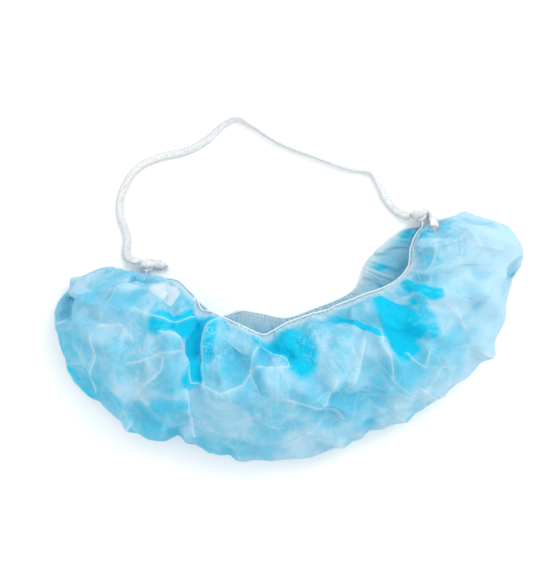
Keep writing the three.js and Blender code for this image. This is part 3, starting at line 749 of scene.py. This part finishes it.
def seam(edge_middle, inner_column):
    """A zigzag thread: it goes over the elastic, down its far side and back into the cloth."""
    run = run_along(edge_middle)
    count = int(run[-1] / SEAM_PITCH)
    at = evenly(edge_middle, count)
    pick = np.searchsorted(run, np.linspace(0, run[-1] * 0.9999, count))
    cloth_in = cloth[pick, inner_column] + normals_of(cloth)[pick, inner_column] * 0.0002
    over = at + UP * (ELASTIC_RADIUS + 0.00015)
    away = at - cloth[pick, inner_column]
    away /= np.linalg.norm(away, axis=1, keepdims=True)
    beyond = at + away * (ELASTIC_RADIUS + 0.00015)
    points = np.stack([cloth_in, over, beyond], axis=1).reshape(-1, 3)
    points[:, 2] = np.maximum(points[:, 2], 0.0004)
    return tube_along(points, THREAD_RADIUS, THREAD_RADIUS, THREAD_SIDES, first_side=UP)


seam_thread = joined("overlock_seam", [seam(upper_edge, 2), seam(lower_edge, -3)])

# %% [markdown]
# ## The knots
#
# At each end of the mouth the knitted cord is pulled thin and tied through the elastic's eye. Its cut end
# is left as a short tail that frays into single yarns.

# %% Knots
KNOT_POINTS, KNOT_SIDES = 240, 20
YARNS, END_YARNS, YARN_POINTS = 110, 45, 7


def height_of_cloth(x, y):
    """The top of the cloth over one place of the table: the highest of its points within 2 mm."""
    near = np.hypot(cloth[..., 0] - x, cloth[..., 1] - y) < 0.002
    return float(cloth[..., 2][near].max()) if near.any() else 0.0


def knot(name, tie, out, to_cord, tail, seed):
    """Turns round the elastic's eye, a circle that climbs as it goes, one pass over it, then the cut tail.
    tail lists the places on the table that it passes over, and it rests on what is below."""
    place = lambda o, c, u: tie + out * o + to_cord * c + UP * u
    radius = 0.0021
    turn = np.linspace(-1.0, 2.35, 21) * np.pi
    points = [place(radius, 0.0046, -0.0012), place(radius, 0.0028, -0.0013)]
    points += [place(-radius * math.cos(a), radius * math.sin(a), 0.0007 * a / np.pi) for a in turn]
    points += [place(0.0, 0.0, 0.0032), place(0.0008, -0.0030, 0.0010)]
    tied = len(points)
    points += [np.array([x, y, 0.0]) for x, y in np.array(tail) / 1000]
    resting = [height_of_cloth(x, y) + 0.0010 for x, y, _ in points[tied:]]
    print(name, "tail lies at", np.round(resting, 4))
    for point, height in zip(points[tied:], resting):
        point[2] = height
    middle = evenly(curve_through(np.array(points), 12), KNOT_POINTS)
    middle[:, 2] = np.maximum(middle[:, 2], 0.0020)
    share = np.linspace(0, 1, KNOT_POINTS)
    opened = np.clip((share - 0.74) / 0.10, 0, 1)
    body = tube_along(middle, 0.0018 + 0.0006 * opened, 0.0016 - 0.0006 * opened, KNOT_SIDES,
                      twist=share * 2.0, first_side=UP, swell=knitted)
    rng = np.random.default_rng(seed)
    yarns = []
    w = np.linspace(0, 1, YARN_POINTS)[:, None]
    for k in range(YARNS):
        at_end = k < END_YARNS
        root = -8 if at_end else int(rng.integers(-70, -8))
        ahead = (middle[root + 7] - middle[root]) / np.linalg.norm(middle[root + 7] - middle[root])
        spray = ahead + rng.normal(0, 0.45 if at_end else 0.8, 3)
        spray /= np.linalg.norm(spray)
        curl = rng.normal(0, 0.0006, 3)
        length = rng.uniform(0.0012, 0.0034) if at_end else rng.uniform(0.0016, 0.0024)
        yarn = middle[root + 4] + rng.normal(0, 0.0006, 3) + spray * length * w + curl * w * w
        yarn[:, 2] = np.maximum(yarn[:, 2], 0.0004)
        yarns.append(tube_along(yarn, THREAD_RADIUS, THREAD_RADIUS, THREAD_SIDES, first_side=UP))
    piece = joined(name, [body] + yarns)
    plain = np.zeros(YARNS * YARN_POINTS * THREAD_SIDES)
    paint(piece, "band_edge_shade", np.concatenate([band_edge_shade(KNOT_POINTS, KNOT_SIDES).ravel(), plain]))
    return piece


left_knot = knot("left_cord_knot", LEFT_TIE, LEFT_OUT, LEFT_TO_CORD,
                 [(-75.6, 37.0), (-73.6, 36.2), (-71.4, 36.0), (-69.4, 35.0)], 3)
right_knot = knot("right_cord_knot", RIGHT_TIE, RIGHT_OUT, RIGHT_TO_CORD,
                  [(75.4, 66.6), (77.6, 65.4), (79.0, 62.4), (79.8, 59.4), (80.0, 57.0)], 8)

# %% [markdown]
# ## Colours and nodes
#
# Colours are chosen as the hex values that one reads off a screen, and one function turns them into the
# linear values that Blender reckons with. One more adds a node with its settings and its links.

# %% Colours and nodes
def linear(hex_colour):
    """Each channel is undone from the screen's curve: a straight start, then a power of 2.4."""
    c = np.array([int(hex_colour[k:k + 2], 16) for k in (1, 3, 5)]) / 255
    c = np.where(c <= 0.04045, c / 12.92, ((c + 0.055) / 1.055) ** 2.4)
    return (*c.tolist(), 1.0)


def add(tree, kind, inputs=(), output=0, **settings):
    """Adds a node and gives one of its outputs. inputs maps a socket's name or number to a value, or to
    the output that feeds it, or lists them in the sockets' order."""
    new = tree.nodes.new("ShaderNode" + kind)
    for name, value in settings.items():
        setattr(new, name, value)
    for name, value in inputs.items() if isinstance(inputs, dict) else enumerate(inputs):
        if isinstance(value, bpy.types.NodeSocket):
            tree.links.new(value, new.inputs[name])
        else:
            new.inputs[name].default_value = value
    return new.outputs[output] if len(new.outputs) else new


TIMES, TIMES_PLUS, LARGER = ({"operation": name} for name in ("MULTIPLY", "MULTIPLY_ADD", "MAXIMUM"))
MIXED = {"output": 2, "data_type": "RGBA"}


def material_named(name):
    """An empty material, and the tree of nodes that it is made of."""
    material = bpy.data.materials.new(name)
    material.use_nodes = True
    material.node_tree.nodes.clear()
    return material, material.node_tree


# %% [markdown]
# ## Spunbond polypropylene non-woven
#
# The cloth is made of endless plastic threads, blown on to a belt in a cloudy web and then pressed
# together at a grid of small points. That gives the eye a soft, dull, slightly uneven blue that lets
# light through, with a fine grain. The grain of the real cloth is about 1 mm, which is too fine for this
# picture, so it is drawn at 1.8 mm. The colour follows the painted numbers.

# %% Cloth material
# The two deep colours are painted light: the cyan of light that has gone through more of the cloth.
CLOTH_DEEP, CLOTH_NEAR_DEEP, CLOTH_MID, CLOTH_PALE, CLOTH_LINE, CLOTH_DOUBLED_HIGHLIGHT = map(linear, (
    "#00DAF3", "#58DAF0", "#7CD6EC", "#D0ECF6", "#F2FAFC", "#EAF1F4"))
cloth_material, t = material_named("spunbond_polypropylene_non_woven")
uv = add(t, "UVMap", uv_map="flat_cloth")
read = {n: add(t, "Attribute", output="Fac", attribute_name=n) for n in CLOTH_NUMBERS}
web = add(t, "TexNoise", {"Vector": uv, "Scale": 16.0, "Detail": 7.0, "Roughness": 0.65}, "Fac")
cloud = add(t, "TexNoise", {"Vector": uv, "Scale": 3.6, "Detail": 7.0, "Roughness": 0.58,
                            "Distortion": 0.4}, "Fac")
threads = add(t, "TexNoise", {"Vector": uv, "Scale": 110.0, "Detail": 2.0, "Roughness": 0.7}, "Fac")
points = add(t, "TexVoronoi", {"Vector": uv, "Scale": 55.0, "Randomness": 0.35}, "Distance", feature="F1")


def crease_lines(scale, width, seed_shift):
    """Thin straight lines between the cells of a shaken grid, broken up by a slow noise."""
    place = add(t, "Mapping", {"Vector": uv, "Location": (seed_shift, seed_shift, 0.0),
                               "Rotation": (0.0, 0.0, 0.3 * seed_shift), "Scale": (1.0, 0.55, 1.0)})
    cells = add(t, "TexVoronoi", {"Vector": place, "Scale": scale}, "Distance", feature="DISTANCE_TO_EDGE")
    lines = add(t, "MapRange", (cells, 0.0, width * scale, 1.0, 0.0))
    slow = add(t, "TexNoise", {"Vector": place, "Scale": scale * 0.6, "Detail": 1.0}, "Fac")
    return add(t, "Math", (lines, add(t, "MapRange", (slow, 0.45, 0.62))), **TIMES)


def painted_line(name, half_width):
    """A thin line where the painted distance passes nought, as strong as it was painted."""
    away = add(t, "Math", (read[name + "_side"],), operation="ABSOLUTE")
    line = add(t, "MapRange", (away, 0.0, half_width, 1.0, 0.0))
    return add(t, "Math", (line, read[name + "_strength"]), **TIMES)


# How pale a place is: the cloth's own cloudy grain, with painted light and shade from the relief, from
# the painted light places and from the creases' slopes.
paleness = add(t, "MapRange", (threads, 0.35, 0.65, -0.12, 0.12))
cloudy = add(t, "MapRange", (cloud, 0.40, 0.60))
webby = add(t, "MapRange", (web, 0.38, 0.62))
for number, weight in ((cloudy, 0.60), (read["relief"], 0.28), (webby, 0.25), (read["painted_light"], 0.75)):
    paleness = add(t, "Math", (number, weight, paleness), **TIMES_PLUS)
# Painted light and shade: a crease parts a paler slope, which faces the light, from a deeper one, which is
# turned away from it.
for name, weight in (("line", 0.35), ("net", 0.16)):
    facet_shading = add(t, "MapRange", (read[name + "_side"], -0.5, 0.5, -weight, weight))
    paleness = add(t, "Math", (facet_shading, read[name + "_strength"], paleness), **TIMES_PLUS)

# The deep places are painted a deeper cyan, for light that has gone through more of the cloth. They end
# in a feathered edge, where threads of the web lie over them.
near_deep = add(t, "Math", (read["around"], add(t, "MapRange", (cloud, 0.40, 0.62, 0.60, 0.15))), **TIMES)
deepness = add(t, "MapRange", (add(t, "Math", (web, 1.1, read["hollow"]), **TIMES_PLUS), 0.92, 1.40))

# The hollows are stretched flat, so the fine lines fade there.
flat_there = add(t, "MapRange", (read["hollow"], 0.4, 0.9, 1.0, 0.1))
# Painted light: the creases are drawn as pale lines, where light comes through their tips.
small_lines = add(t, "Math", (crease_lines(8.5, 0.006, 7.7), 0.7), **TIMES)
thin_lines = add(t, "Math", (crease_lines(3.6, 0.008, 3.1), small_lines), **LARGER)
thin_part = add(t, "Math", (thin_lines, 0.25), **TIMES)
net_part = add(t, "Math", (painted_line("net", 0.45), 0.28), **TIMES)
fine_lines = add(t, "Math", (add(t, "Math", (thin_part, net_part), **LARGER), flat_there), **TIMES)
placed_part = add(t, "Math", (painted_line("line", 0.55), 0.75), **TIMES)
mesh_cells = add(t, "TexVoronoi", {"Vector": uv, "Scale": 46.0}, "Distance", feature="DISTANCE_TO_EDGE")
speckles = add(t, "MapRange", (mesh_cells, 0.0, 0.20, 1.0, 0.0))
for share in (read["speckled"], add(t, "MapRange", (web, 0.44, 0.60)), 0.62):
    speckles = add(t, "Math", (speckles, share), **TIMES)
lines = add(t, "Math", (add(t, "Math", (placed_part, fine_lines), **LARGER), speckles), **LARGER)
# Painted light: a soft pale glow beside the placed creases.
glow = add(t, "Math", (painted_line("line", 2.4), 0.22), **TIMES)
hem_share = add(t, "Math", (read["hem"], 0.85), **TIMES)
# Painted highlight: the doubled corner is painted near white, where its flat face catches the light.
doubled_highlight_share = add(t, "MapRange", (read["doubled"], -0.3, 0.3, 0.0, 0.85))

colour = CLOTH_MID
for share, tone in ((paleness, CLOTH_PALE), (near_deep, CLOTH_NEAR_DEEP), (deepness, CLOTH_DEEP),
                    (glow, CLOTH_LINE), (lines, CLOTH_LINE), (doubled_highlight_share, CLOTH_DOUBLED_HIGHLIGHT),
                    (hem_share, CLOTH_LINE)):
    colour = add(t, "Mix", {0: share, 6: colour, 7: tone}, **MIXED)
grain = add(t, "Math", (points, 0.6, web), **TIMES_PLUS)
grain = add(t, "Math", (add(t, "Math", (thin_lines, flat_there), **TIMES), 0.8, grain), **TIMES_PLUS)
bump = add(t, "Bump", {"Height": grain, "Strength": 0.5, "Distance": 0.0007})
surface = add(t, "BsdfPrincipled", {"Base Color": colour, "Roughness": 0.82, "IOR": 1.49,
                                    "Specular IOR Level": 0.3, "Normal": bump})
through = add(t, "BsdfTranslucent", {"Color": colour, "Normal": bump})
add(t, "OutputMaterial", {"Surface": add(t, "MixShader", (0.5, surface, through))})
pouch.data.materials.append(cloth_material)

# %% [markdown]
# ## Knitted and covered elastic
#
# Both elastics are white polyester thread round rubber. Thread gives a soft matt white, with fuzz that
# catches light at its edges. The sheen layer stands for that fuzz. Painted shade greys the white a little
# in the hollows of the knit and on the knitted band's two narrow edges. The thin one is drawn darker and
# bluer, or it would stand out as a bright wire.

# %% Elastic materials
# Painted shade for the knitted band's two narrow edges.
EDGE_SHADE = linear("#A9AEB3")


def thread_material(name, pale, shade, stitch_scale):
    """White thread: a noise as coarse as the stitches paints shade into the hollows and roughens the surface.
    The band's two narrow edges get painted shade as well.
    """
    material, tree = material_named(name)
    place = add(tree, "TexCoord", output="Object")
    stitches = add(tree, "TexNoise", {"Vector": place, "Scale": stitch_scale, "Detail": 3.0}, "Fac")
    # Painted shade: the noise greys the hollows of the knit.
    knit_hollow_shade = add(tree, "MapRange", (stitches, 0.30, 0.60))
    tone = add(tree, "Mix", {0: knit_hollow_shade, 6: linear(shade), 7: linear(pale)}, **MIXED)
    # Painted shade: the band's two narrow edges are greyed.
    painted = add(tree, "Attribute", output="Fac", attribute_name="band_edge_shade")
    edge_shade_share = add(tree, "Math", (painted, 0.45), **TIMES)
    tone = add(tree, "Mix", {0: edge_shade_share, 6: tone, 7: EDGE_SHADE}, **MIXED)
    rough = add(tree, "Bump", {"Height": stitches, "Strength": 0.3, "Distance": 0.0003})
    cover = add(tree, "BsdfPrincipled", {"Base Color": tone, "Roughness": 0.9, "IOR": 1.5,
                                         "Sheen Weight": 0.25, "Normal": rough})
    add(tree, "OutputMaterial", {"Surface": cover})
    return material


knitted_elastic = thread_material("knitted_polyester_elastic", "#D9DADA", "#BEC2C4", 900.0)
covered_elastic = thread_material("covered_elastic_thread", "#D6E4EA", "#C2D5DE", 1200.0)
for piece in (cord, left_knot, right_knot):
    piece.data.materials.append(knitted_elastic)
for piece in (mouth_elastic, seam_thread):
    piece.data.materials.append(covered_elastic)

# %% [markdown]
# ## Table and light
#
# The photograph was taken on pure white with light from all round and a little more of it from the upper
# right. So the table is a white sheet, the sky is white, and one large soft lamp stands to the upper
# right.

# %% Table
table_mesh = bpy.data.meshes.new("white_table")
table_mesh.from_pydata([(-3, -3, 0), (3, -3, 0), (3, 3, 0), (-3, 3, 0)], [], [(0, 1, 2, 3)])
table = bpy.data.objects.new("white_table", table_mesh)
bpy.context.collection.objects.link(table)
table_material, t = material_named("white_paper_table")
paper = add(t, "BsdfPrincipled", {"Base Color": linear("#F8F8F8"), "Roughness": 0.95,
                                  "Specular IOR Level": 0.0})
add(t, "OutputMaterial", {"Surface": paper})
table_mesh.materials.append(table_material)

# %% Lights
world = bpy.data.worlds.new("white_room")
world.use_nodes = True
world.node_tree.nodes["Background"].inputs["Color"].default_value = linear("#FFFFFF")
world.node_tree.nodes["Background"].inputs["Strength"].default_value = 1.2
bpy.context.scene.world = world
bpy.context.scene.view_settings.view_transform = "Standard"


def soft_lamp(name, place, aim, size, power):
    """A square lamp that looks from its place to a point."""
    data = bpy.data.lights.new(name, "AREA")
    data.size = size
    data.energy = power
    lamp = bpy.data.objects.new(name, data)
    toward = np.array(aim, float) - np.array(place, float)
    flat = math.hypot(toward[0], toward[1])
    lamp.location = place
    lamp.rotation_euler = (math.atan2(flat, -toward[2]), 0, math.atan2(-toward[0], toward[1]))
    bpy.context.collection.objects.link(lamp)


soft_lamp("window_light", (0.9, 0.9, 1.1), (0, 0, 0.02), 0.9, 12.0)

# %% [markdown]
# ## Fitting the pieces to the frame
#
# Nothing on the net turns on a joint, so every piece rides on the one body. The solid that each piece
# but the seam's thread stands for is hidden.

# %% Fit to the frame
for piece, node, slot in (
        (pouch, "beard_pouch", "non_woven"), (mouth_elastic, "mouth_elastic", "edge_elastic"),
        (left_knot, "left_knot", "knitted_elastic"), (right_knot, "right_knot", "knitted_elastic"),
        (cord, "head_elastic", "knitted_elastic")):
    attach(piece, "root")
    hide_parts(node)
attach(seam_thread, "root")
